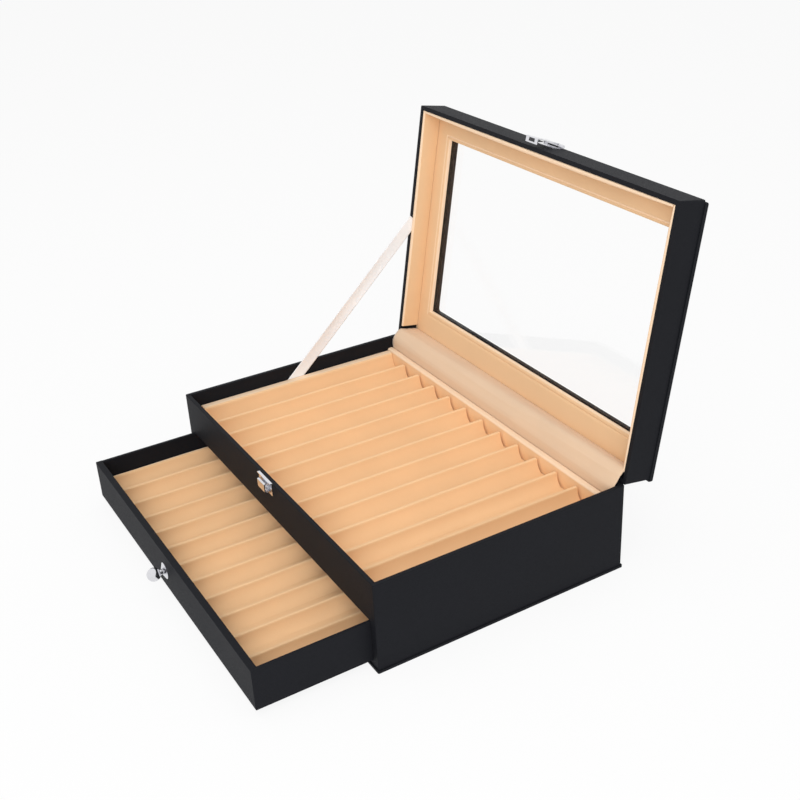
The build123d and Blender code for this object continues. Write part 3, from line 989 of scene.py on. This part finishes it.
@dataclass
class CaseBody:
    """The case: boards, padded tray, rests and catch."""

    boards: tuple[str, ...] = (
        "base_board", "left_side_panel", "right_side_panel", "back_panel", "front_rail",
        "left_drawer_guide", "right_drawer_guide", "middle_shelf",
    )
    metal: tuple[str, ...] = ("catch_plate", "catch_pins")
    round_edge: float = 1.6 * MM
    slot_edge: float = 0.8 * MM
    end_rest_top: float = 63.0 * MM
    end_rest_width: float = 5.2 * MM
    back_pad_width: float = 3.2 * MM
    tuck_floor: float = 47.5 * MM
    level_base: float = 5 * MM
    end_zone: float = 2 * MM
    end_steps: int = 2
    rest_steps: int = 60
    lift: Waver = Waver(0.2 * MM, 20.0, 5.0)
    sway: Waver = Waver(0.15 * MM, 24.0, 6.0)
    fill: float = 0.8

    def build(self) -> None:
        """Dresses the boards and builds the tray's padding."""
        dress_nodes(Look.LEATHER, *self.boards)
        dress_nodes(Look.NICKEL, *self.metal)
        tray = PaddedStorey("case", "upper")
        tray.build_bed()
        tray.build_ridges()
        self._end_rest()
        self._front_rest()

    def _front_rest(self) -> None:
        """Makes the rest at the tray's front, a block with round top edges."""
        low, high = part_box("upper_front_rest")
        edges = (self.round_edge, self.round_edge)
        top = block_top(low.y, high.y, high.z, edges)
        self._rest("upper_front_rest", [(low.y, low.z), *top, (high.y, low.z)], high.z)

    def _end_rest(self) -> None:
        """Makes the rest behind the slots, its tuck slot and the pad behind that."""
        low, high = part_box("upper_end_rest")
        front, back = low.y + self.end_rest_width, high.y - self.back_pad_width
        rest = block_top(low.y, front, self.end_rest_top, (self.round_edge, self.slot_edge))
        pad = block_top(back, high.y, high.z, (self.slot_edge, self.slot_edge))
        slot = [(front, self.tuck_floor), (back, self.tuck_floor)]
        section = [(low.y, low.z), *rest, *slot, *pad, (high.y, low.z)]
        self._rest("upper_end_rest", section, self.end_rest_top)

    def _rest(self, node: str, section: Sequence[Flat], top: float) -> None:
        """Makes a padded rest across the tray.

        Args:
            node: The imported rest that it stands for.
            section: Its closed outline, as (y, z).
            top: Height of its top.
        """
        low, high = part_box(node)
        rings = []
        for x in stations(low.x, high.x, self.end_zone, self.end_steps, self.rest_steps):
            ring = []
            for y, z in section:
                point = Vector((x, y, z))
                if z > low.z + self.level_base:
                    point.z += self.lift.at(point)
                    point.y += self.sway.at(point)
                ring.append(point)
            rings.append(ring)
        rest = make_piece(node + "_padding", *loft(rings), Look.TRAY)
        # Painted highlight on the rest's rounded top.
        paint_highlight(rest, lambda middle, _: middle.z > top - self.round_edge)
        settle(rest, "case", [node])


@dataclass
class Drawer:
    """The drawer: box, padded slots and knob."""

    boards: tuple[str, ...] = (
        "drawer_front", "drawer_left_side", "drawer_right_side", "drawer_back", "drawer_bottom",
    )
    metal: tuple[str, ...] = ("knob", "knob_rosette", "knob_screw")
    rest_width: float = 3.3 * MM

    def build(self) -> None:
        """Dresses the box and builds its padding."""
        dress_nodes(Look.LEATHER, *self.boards)
        dress_nodes(Look.NICKEL, *self.metal)
        storey = PaddedStorey("drawer", "drawer", self.rest_width)
        storey.build_bed()
        storey.build_ridges()


@dataclass
class Lid:
    """The lid: rails, window board, pane, linings and clasp."""

    boards: tuple[str, ...] = (
        "lid_front_rail", "lid_left_rail", "lid_right_rail", "lid_back_rail", "window_board",
    )
    metal: tuple[str, ...] = ("clasp_plate", "clasp_pin")
    window_half: float = 141.3 * MM
    window_back: float = 28.5 * MM
    window_front: float = 187.5 * MM
    card_half: float = 161.2 * MM
    card_back: float = 3.8 * MM
    card_front: float = 209.2 * MM
    card_low: float = 17.5 * MM
    card_high: float = 24.0 * MM
    card_steps: int = 14
    card_lift: Waver = Waver(0.15 * MM, 20.0, 11.0)
    pane_side: float = 21.0 * MM
    rebate: float = 5.9 * MM
    roll: float = 1.6 * MM
    roll_turns: tuple[int, ...] = (0, 25, 50, 75, 90)
    face_steps: int = 8
    level: float = 1 * MM
    highlight_lean: float = 0.75
    groove_place: float = 3.0 * MM
    groove_half: float = 0.5 * MM
    groove_depth: float = 0.5 * MM
    strip_low: float = 0.5 * MM
    strip_high: float = 17.2 * MM
    strip_back: float = 9.0 * MM
    side_strip: Flat = (159.1 * MM, 161.35 * MM)
    front_strip: Flat = (207.1 * MM, 209.4 * MM)
    front_strip_half: float = 159.0 * MM
    strip_steps: int = 48
    mouth_steps: int = 8
    mouth_swell: float = 0.25
    mouth_highlight: float = 1.2
    crown: float = 1.7 * MM
    crown_shape: float = 0.7
    fill: float = 0.3

    def build(self) -> None:
        """Dresses the frame and builds the linings."""
        dress_nodes(Look.LEATHER, *self.boards)
        dress_nodes(Look.NICKEL, *self.metal)
        dress_nodes(Look.PANE, "window_pane")
        self._card()
        inner, outer = self.side_strip
        along = (self.strip_back, self.card_front)
        self._strip("left", along, -inner, -outer)
        self._strip("right", along, inner, outer)
        half = self.front_strip_half
        self._strip("front", (-half, half), *self.front_strip)

    def _card(self) -> None:
        """Makes the padded card round the window, rolled over at the window's edge."""
        rings = []
        for side in range(4):
            for k in range(self.card_steps):
                ring = []
                for reach, w in self._card_section():
                    x, u = self._round_window(side, k / self.card_steps, reach)
                    point = LID.point(x, u, w)
                    if w < self.card_low + self.level:
                        point += LID.outward * self.card_lift.at(point)
                    ring.append(point)
                rings.append(ring)
        card = make_piece("window_card", *loft(rings, endless=True), Look.LID)
        pane = LID.point(0.0, 0.0, self.pane_side)
        # Painted highlight on the card's rolled edge and cut edge inside the window.
        paint_highlight(card, lambda middle, normal: (
            (pane - middle).dot(LID.outward) > 0.0
            and abs(normal.dot(LID.outward)) < self.highlight_lean
        ))
        settle(card, "lid", ["window_liner"])

    def _card_section(self) -> list[Flat]:
        """Closed outline of the card's section.

        Returns:
            Points of the share of the way from window to wall, and the depth.
        """
        width, low = self.card_half - self.window_half, self.card_low
        roll, groove, lip, rebate = (
            size / width for size in (self.roll, self.groove_place, self.groove_half, self.rebate)
        )
        face = [(groove - lip, low), (groove, low + self.groove_depth), (groove + lip, low)]
        steps, edge = self.face_steps, []
        face += [(groove + (1 - groove) * k / steps, low) for k in range(1, steps + 1)]
        for turn in self.roll_turns:
            angle = math.radians(turn)
            edge.append((roll - roll * math.sin(angle), low + self.roll * (1 - math.cos(angle))))
        return face[::-1] + edge + [
            (0.0, self.pane_side), (rebate, self.pane_side),
            (rebate, self.card_high), (1.0, self.card_high),
        ]

    def _round_window(self, side: int, share: float, reach: float) -> Flat:
        """A place on the rectangle that lies part of the way from window to wall.

        Args:
            side: Side of the rectangle, counted from the one at the hinge.
            share: How far along that side, from 0 to 1.
            reach: 0 at the window and 1 at the wall.

        Returns:
            The place along the case and from the hinge.
        """
        half = self.window_half + (self.card_half - self.window_half) * reach
        back = self.window_back + (self.card_back - self.window_back) * reach
        front = self.window_front + (self.card_front - self.window_front) * reach
        corners = ((-half, back), (half, back), (half, front), (-half, front))
        (x, u), (next_x, next_u) = corners[side], corners[(side + 1) % 4]
        return x + (next_x - x) * share, u + (next_u - u) * share

    def _strip(self, side: str, along: Flat, inner: float, outer: float) -> None:
        """Makes a thin padded strip inside a rail, with a soft edge at the lid's mouth.

        Args:
            side: "left", "right" or "front".
            along: Where it starts and ends along the rail.
            inner: Place of the face that shows.
            outer: Place of the glued face.
        """
        low, high, steps = self.strip_low, self.strip_high, self.strip_steps
        edge = abs(outer - inner) / 2
        section = [
            (0.5 + (share - 0.5) / 2, low + edge - (w - low - edge) * edge)
            for share, w in arc((0.5, low + edge), 1.0, 180, 0, self.mouth_steps)
        ] + [(1.0, high), (0.0, high)]
        rings = []
        for k in range(steps + 1):
            place = along[0] + (along[1] - along[0]) * k / steps
            crown = self.crown * math.sin(math.pi * k / steps) ** self.crown_shape
            ring = []
            for share, w in section:
                rise = min((w - low) / (high - low) + self.mouth_swell, 1.0)
                swell = crown * (1 - share) * math.sin(math.pi * rise)
                across = inner + (outer - inner) * share + math.copysign(swell, inner - outer)
                x, u = (place, across) if side == "front" else (across, place)
                ring.append(LID.point(x, u, w))
            rings.append(ring)
        strip = make_piece(f"{side}_lid_padding", *loft(rings), Look.LID)
        # Painted highlight along the strip's edge at the lid's mouth.
        rim, pale = LID.point(0.0, 0.0, low), self.mouth_highlight * edge
        paint_highlight(strip, lambda middle, _: (middle - rim).dot(LID.outward) < pale)
        settle(strip, "lid", [f"lid_{side}_liner"])


@dataclass
class Cloth(ABC):
    """A thin cloth from the case over the hinge to the lid, made on a grid."""

    name: str
    node: str
    slot: str
    look: Look
    held: str
    rests_on: tuple[str, ...]
    thickness: float
    columns: int
    rows: int

    @abstractmethod
    def line(self, share: float) -> list[Vector]:
        """Points from case to lid, one more than rows, at a share of the way across."""

    @abstractmethod
    def flat(self) -> Flat:
        """Width and length before it was hung."""

    @abstractmethod
    def ties(self) -> tuple[Vector, Vector]:
        """Where the cloth leaves the case and where it meets the lid."""

    def build(self) -> None:
        """Makes the cloth and says what it is."""
        points = [p for c in range(self.columns + 1) for p in self.line(c / self.columns)]
        piece = make_piece(self.name, points, self._faces(), self.look)
        if isinstance(self.look.value, Satin):
            self._lay_flat(piece)
        self._thicken(piece)
        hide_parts(self.node)
        self.flat()
        start, end = self.ties()
        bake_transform(piece)
        width, length = self.flat()
        log.info("%s: case to lid, %.1f x %.1f mm", self.name, width / MM, length / MM)

    def _faces(self) -> list[list[int]]:
        """Joins the grid's points, which go line by line.

        Returns:
            The faces, as point indices.
        """
        after = self.rows + 1
        starts = (c * after + r for c in range(self.columns) for r in range(self.rows))
        return [[k, k + after, k + after + 1, k + 1] for k in starts]

    def _lay_flat(self, piece: Piece) -> None:
        """Lays the cloth's flat size out as its UV map, in metres.

        Args:
            piece: The cloth, before it is thickened.
        """
        width, length = self.flat()
        layer = piece.data.uv_layers.new(name="cloth")
        for loop in piece.data.loops:
            column, row = divmod(loop.vertex_index, self.rows + 1)
            layer.data[loop.index].uv = (width * column / self.columns, length * row / self.rows)

    def _thicken(self, piece: Piece) -> None:
        """Gives the cloth its thickness, centred on its sheet.

        Args:
            piece: The cloth.
        """
        modifier = piece.modifiers.new("thickness", "SOLIDIFY")
        modifier.thickness = self.thickness
        modifier.offset = 0.0
        solid = applied(piece)
        piece.modifiers.clear()
        piece.data = solid


@dataclass
class HingeCloth(Cloth):
    """Cloth over the inside of the hinge, from the end rest to the lid's card."""

    name: str = "hinge_cloth"
    node: str = "hinge_liner"
    slot: str = "hinge_lining"
    look: Look = Look.HINGE
    held: str = "stretched"
    rests_on: tuple[str, ...] = ("upper_end_rest", "lid_back_rail")
    thickness: float = 0.6 * MM
    columns: int = 140
    rows: int = 60
    lid_half: float = 158.8 * MM
    case_half: float = 161.0 * MM
    case_guide: tuple[Flat, ...] = (
        (98.75 * MM, 59.0 * MM), (98.45 * MM, 64.7 * MM), (98.95 * MM, 70.4 * MM),
        (102.2 * MM, 74.9 * MM),
    )
    left_bulge: float = 5.2 * MM
    right_bulge: float = 9.2 * MM
    bulge_lift: float = 0.25
    past_bulge: Flat = (0.6 * MM, 6.0 * MM)
    lid_guide: tuple[Flat, ...] = ((5.8 * MM, 13.0 * MM), (5.0 * MM, 17.2 * MM))
    leaves_case: Place = (0.0, 99.0 * MM, 70.0 * MM)
    meets_lid: Place = (0.0, 6.0 * MM, 2.0 * MM)
    wrinkle: float = 0.6 * MM
    wrinkle_stretch: float = 1.2
    wrinkle_way: Place = (0.0, -0.5, 0.85)
    creases: Waver = Waver(1.0, 5.0, 2.0)

    def line(self, share: float) -> list[Vector]:
        """Points across the hinge, with soft creases along it.

        Args:
            share: Where the line lies along the case, from 0 at the left.

        Returns:
            One point more than there are rows.
        """
        line = []
        for row, point in enumerate(self._smooth(share)):
            fold = math.sin(row / self.rows * math.pi)
            along = Vector((point.x * self.wrinkle_stretch, row / self.rows, 0.0))
            depth = self.wrinkle * (1 - 2 * abs(self.creases.at(along))) * fold
            line.append(point + Vector(self.wrinkle_way) * depth)
        return line

    def _smooth(self, share: float) -> list[Vector]:
        """The line without its creases.

        Args:
            share: Where the line lies along the case, from 0 at the left.

        Returns:
            One point more than there are rows.
        """
        x, wide = (2 * share - 1) * self.lid_half, (2 * share - 1) * self.case_half
        bulge = self.left_bulge + (self.right_bulge - self.left_bulge) * share
        past, depth = self.past_bulge
        guide = [Vector((wide, y, z)) for y, z in self.case_guide]
        guide[-1].z += self.bulge_lift * (bulge - self.left_bulge)
        guide += [LID.point(wide, bulge, 0.0), LID.point(x, bulge + past, depth)]
        guide += [LID.point(x, u, w) for u, w in self.lid_guide]
        return smooth_line(guide, self.rows)

    def flat(self) -> Flat:
        """Width and length, measured along the middle line."""
        return 2 * self.case_half, line_length(self._smooth(0.5))

    def ties(self) -> tuple[Vector, Vector]:
        """Where the cloth leaves the case and where it meets the lid."""
        return Vector(self.leaves_case), LID.point(*self.meets_lid)


@dataclass
class OuterHinge(Cloth):
    """Leatherette strip over the outside of the hinge, in the corner behind it."""

    name: str = "outer_hinge_strip"
    node: str = "leather_hinge"
    slot: str = "leatherette"
    look: Look = Look.LEATHER
    held: str = "folded"
    rests_on: tuple[str, ...] = ("back_panel", "lid_back_rail")
    thickness: float = 0.7 * MM
    columns: int = 90
    rows: int = 24
    half: float = 161.5 * MM
    drop: float = 13.0 * MM
    rise: float = 14.0 * MM
    bend: float = 2.4 * MM
    stand: float = 0.7 * MM
    tie: float = 2 * MM

    def line(self, share: float) -> list[Vector]:
        """Points from the case's back to the lid's back rail.

        Args:
            share: Where the line lies along the case, from 0 at the left.

        Returns:
            One point more than there are rows.
        """
        x = -self.half + 2 * self.half * share
        drops, rises = (self.drop, self.drop / 2, self.bend), (self.bend, self.rise / 2, self.rise)
        case_y = LID.hinge_y + self.stand
        guide = [Vector((x, case_y, LID.hinge_z - drop)) for drop in drops]
        guide += [LID.point(x, -self.stand, rise) for rise in rises]
        return smooth_line(guide, self.rows)

    def flat(self) -> Flat:
        """Width and length of the strip."""
        return 2 * self.half, line_length(self.line(0.5))

    def ties(self) -> tuple[Vector, Vector]:
        """Just below and just past the hinge."""
        return Vector((0.0, LID.hinge_y, LID.hinge_z - self.tie)), LID.point(0.0, 0.0, self.tie)


@dataclass
class RibbonStay(Cloth):
    """White ribbon that stops the lid, from the tray's left side to the lid, drawn taut."""

    name: str = "ribbon"
    node: str = "ribbon_stay"
    slot: str = "ribbon"
    look: Look = Look.RIBBON
    held: str = "stretched"
    rests_on: tuple[str, ...] = ("upper_bed", "lid_left_rail")
    thickness: float = 0.3 * MM
    columns: int = 12
    rows: int = 90
    width: float = 11.0 * MM
    foot: Place = (-161.1 * MM, -4.6 * MM, 60.0 * MM)
    tuck: float = 7.0 * MM
    head: Place = (-161.1 * MM, 108.5 * MM, 0.0)
    lid_tuck: float = 4.0 * MM
    cup: float = 0.9 * MM
    lean: float = 0.5 * MM
    sway: Waver = Waver(0.5 * MM, 12.0, 4.0)

    def line(self, share: float) -> list[Vector]:
        """Points from the foot to the head, with a faint cup across the ribbon.

        Args:
            share: Where the line lies across the ribbon, from 0 to 1.

        Returns:
            One point more than there are rows.
        """
        run, start, end = self._run()
        side = Vector((0.0, -run.z, run.y))
        length = (end - start).length
        across = share - 0.5
        line = []
        for row in range(self.rows + 1):
            done = row / self.rows
            point = start + (end - start) * done + side * (across * self.width)
            reach = (done * length - self.tuck) / (length - self.tuck - self.lid_tuck)
            free = math.sin(math.pi * min(max(reach, 0), 1))
            point.x += (self.cup * across * across * 4 - self.lean) * free
            point.x += free * self.sway.at(point)
            line.append(point)
        return line

    def _run(self) -> tuple[Vector, Vector, Vector]:
        """The ribbon's direction, and its two ends as they are tucked in."""
        foot, head = self.ties()
        run = (head - foot).normalized()
        return run, foot - run * self.tuck, head + run * self.lid_tuck

    def flat(self) -> Flat:
        """Width and length, both tucked ends included."""
        _, start, end = self._run()
        return self.width, (end - start).length

    def ties(self) -> tuple[Vector, Vector]:
        """Where the ribbon leaves the tray's side and where it meets the lid's."""
        return Vector(self.foot), LID.point(*self.head)


def line_length(line: Sequence[Vector]) -> float:
    """Length of a line along its points."""
    return sum((b - a).length for a, b in zip(line, line[1:]))


def smooth_line(guide: Sequence[Vector], steps: int) -> list[Vector]:
    """Even points on a smooth curve through guide points.

    Args:
        guide: The points it passes through.
        steps: Number of segments.

    Returns:
        The points, both ends included.
    """
    dense: list[Vector] = []
    ends = [guide[0] * 2 - guide[1], *guide, guide[-1] * 2 - guide[-2]]
    for p0, p1, p2, p3 in zip(ends, ends[1:], ends[2:], ends[3:]):
        bend, twist = 2 * p0 - 5 * p1 + 4 * p2 - p3, 3 * p1 - p0 - 3 * p2 + p3
        for j in range(CURVE_STEPS):
            t = j / CURVE_STEPS
            dense.append(0.5 * (2 * p1 + (p2 - p0) * t + bend * t * t + twist * t ** 3))
    dense.append(guide[-1].copy())
    reach = [0.0]
    for a, b in zip(dense, dense[1:]):
        reach.append(reach[-1] + (b - a).length)
    line, k = [], 0
    for step in range(steps + 1):
        target = reach[-1] * step / steps
        while k < len(reach) - 2 and reach[k + 1] < target:
            k += 1
        share = (target - reach[k]) / max(reach[k + 1] - reach[k], 1e-9)
        line.append(dense[k].lerp(dense[k + 1], share))
    return line


@dataclass(frozen=True)
class Softbox:
    """A square soft light that leaves no glare in the pane, in metres and watts."""

    name: str
    place: Place
    aim: Place
    size: float
    power: float

    def build(self) -> None:
        """Hangs the light and turns it to its aim."""
        light = bpy.data.lights.new(self.name, "AREA")
        light.size = self.size
        light.energy = self.power
        made = add_object(self.name, light)
        made.location = self.place
        way = Vector(self.aim) - Vector(self.place)
        made.rotation_euler = way.to_track_quat("-Z", "Y").to_euler()
        made.visible_glossy = False


@dataclass
class Studio:
    """Floor, soft lights and camera."""

    camera_place: Place = (0.714831, -0.384287, 0.536475)
    camera_right: Place = (0.538188, 0.842322, -0.029102)
    camera_down: Place = (0.386713, -0.277470, -0.879468)
    focal: float = 52.48
    sensor: float = 36.0
    shift: Flat = (-0.05875, 0.0075)
    clip: Flat = (0.05, 20.0)
    floor_half: float = 4.0
    world_light: float = 0.56
    softboxes: tuple[Softbox, ...] = (
        Softbox("top_light", (0.1, -0.3, 1.9), (0.0, 0.0, 0.05), 1.9, 11.0),
        Softbox("side_light", (1.6, -1.1, 1.05), (0.0, 0.0, 0.1), 1.5, 24.0),
    )

    def build(self) -> None:
        """Adds the floor, the lights and the camera."""
        half = self.floor_half
        corners = [Vector((half * x, half * y, 0)) for x, y in ((-1, -1), (1, -1), (1, 1), (-1, 1))]
        make_piece("floor", corners, [[0, 1, 2, 3]], Look.FLOOR)
        self._world()
        for softbox in self.softboxes:
            softbox.build()
        self._camera()

    def _world(self) -> None:
        """Even pale light, seen as white by the camera and in gloss."""
        world = bpy.data.worlds.new("pale_studio")
        bpy.context.scene.world = world
        world.use_nodes = True
        world.node_tree.nodes.clear()
        graph = Graph(world.node_tree)
        level = graph.seen() * (1.0 - self.world_light) + self.world_light
        sky = graph.node("ShaderNodeBackground", {"Color": WHITE, "Strength": level})
        graph.node("ShaderNodeOutputWorld", {"Surface": sky.outputs[0]})

    def _camera(self) -> None:
        """The camera at the photograph's angle."""
        camera = bpy.data.cameras.new("camera")
        camera.lens = self.focal
        camera.sensor_width = self.sensor
        camera.shift_x, camera.shift_y = self.shift
        camera.clip_start, camera.clip_end = self.clip
        right, up = Vector(self.camera_right), -Vector(self.camera_down)
        turn = Matrix((right, up, right.cross(up))).transposed().to_4x4()
        made = add_object("camera", camera)
        made.matrix_world = Matrix.Translation(Vector(self.camera_place)) @ turn
        bpy.context.scene.camera = made


def main() -> None:
    """Builds the case's looks, piece by piece."""
    logging.basicConfig(level=logging.INFO, format="%(name)s: %(message)s")
    bpy.context.scene.view_settings.view_transform = "Standard"
    for part in (Studio(), CaseBody(), Drawer(), Lid()):
        part.build()
    dress_nodes(Look.NICKEL, "clasp_hasp")
    for cloth in (HingeCloth(), OuterHinge(), RibbonStay()):
        cloth.build()


if __name__ == "__main__":
    main()
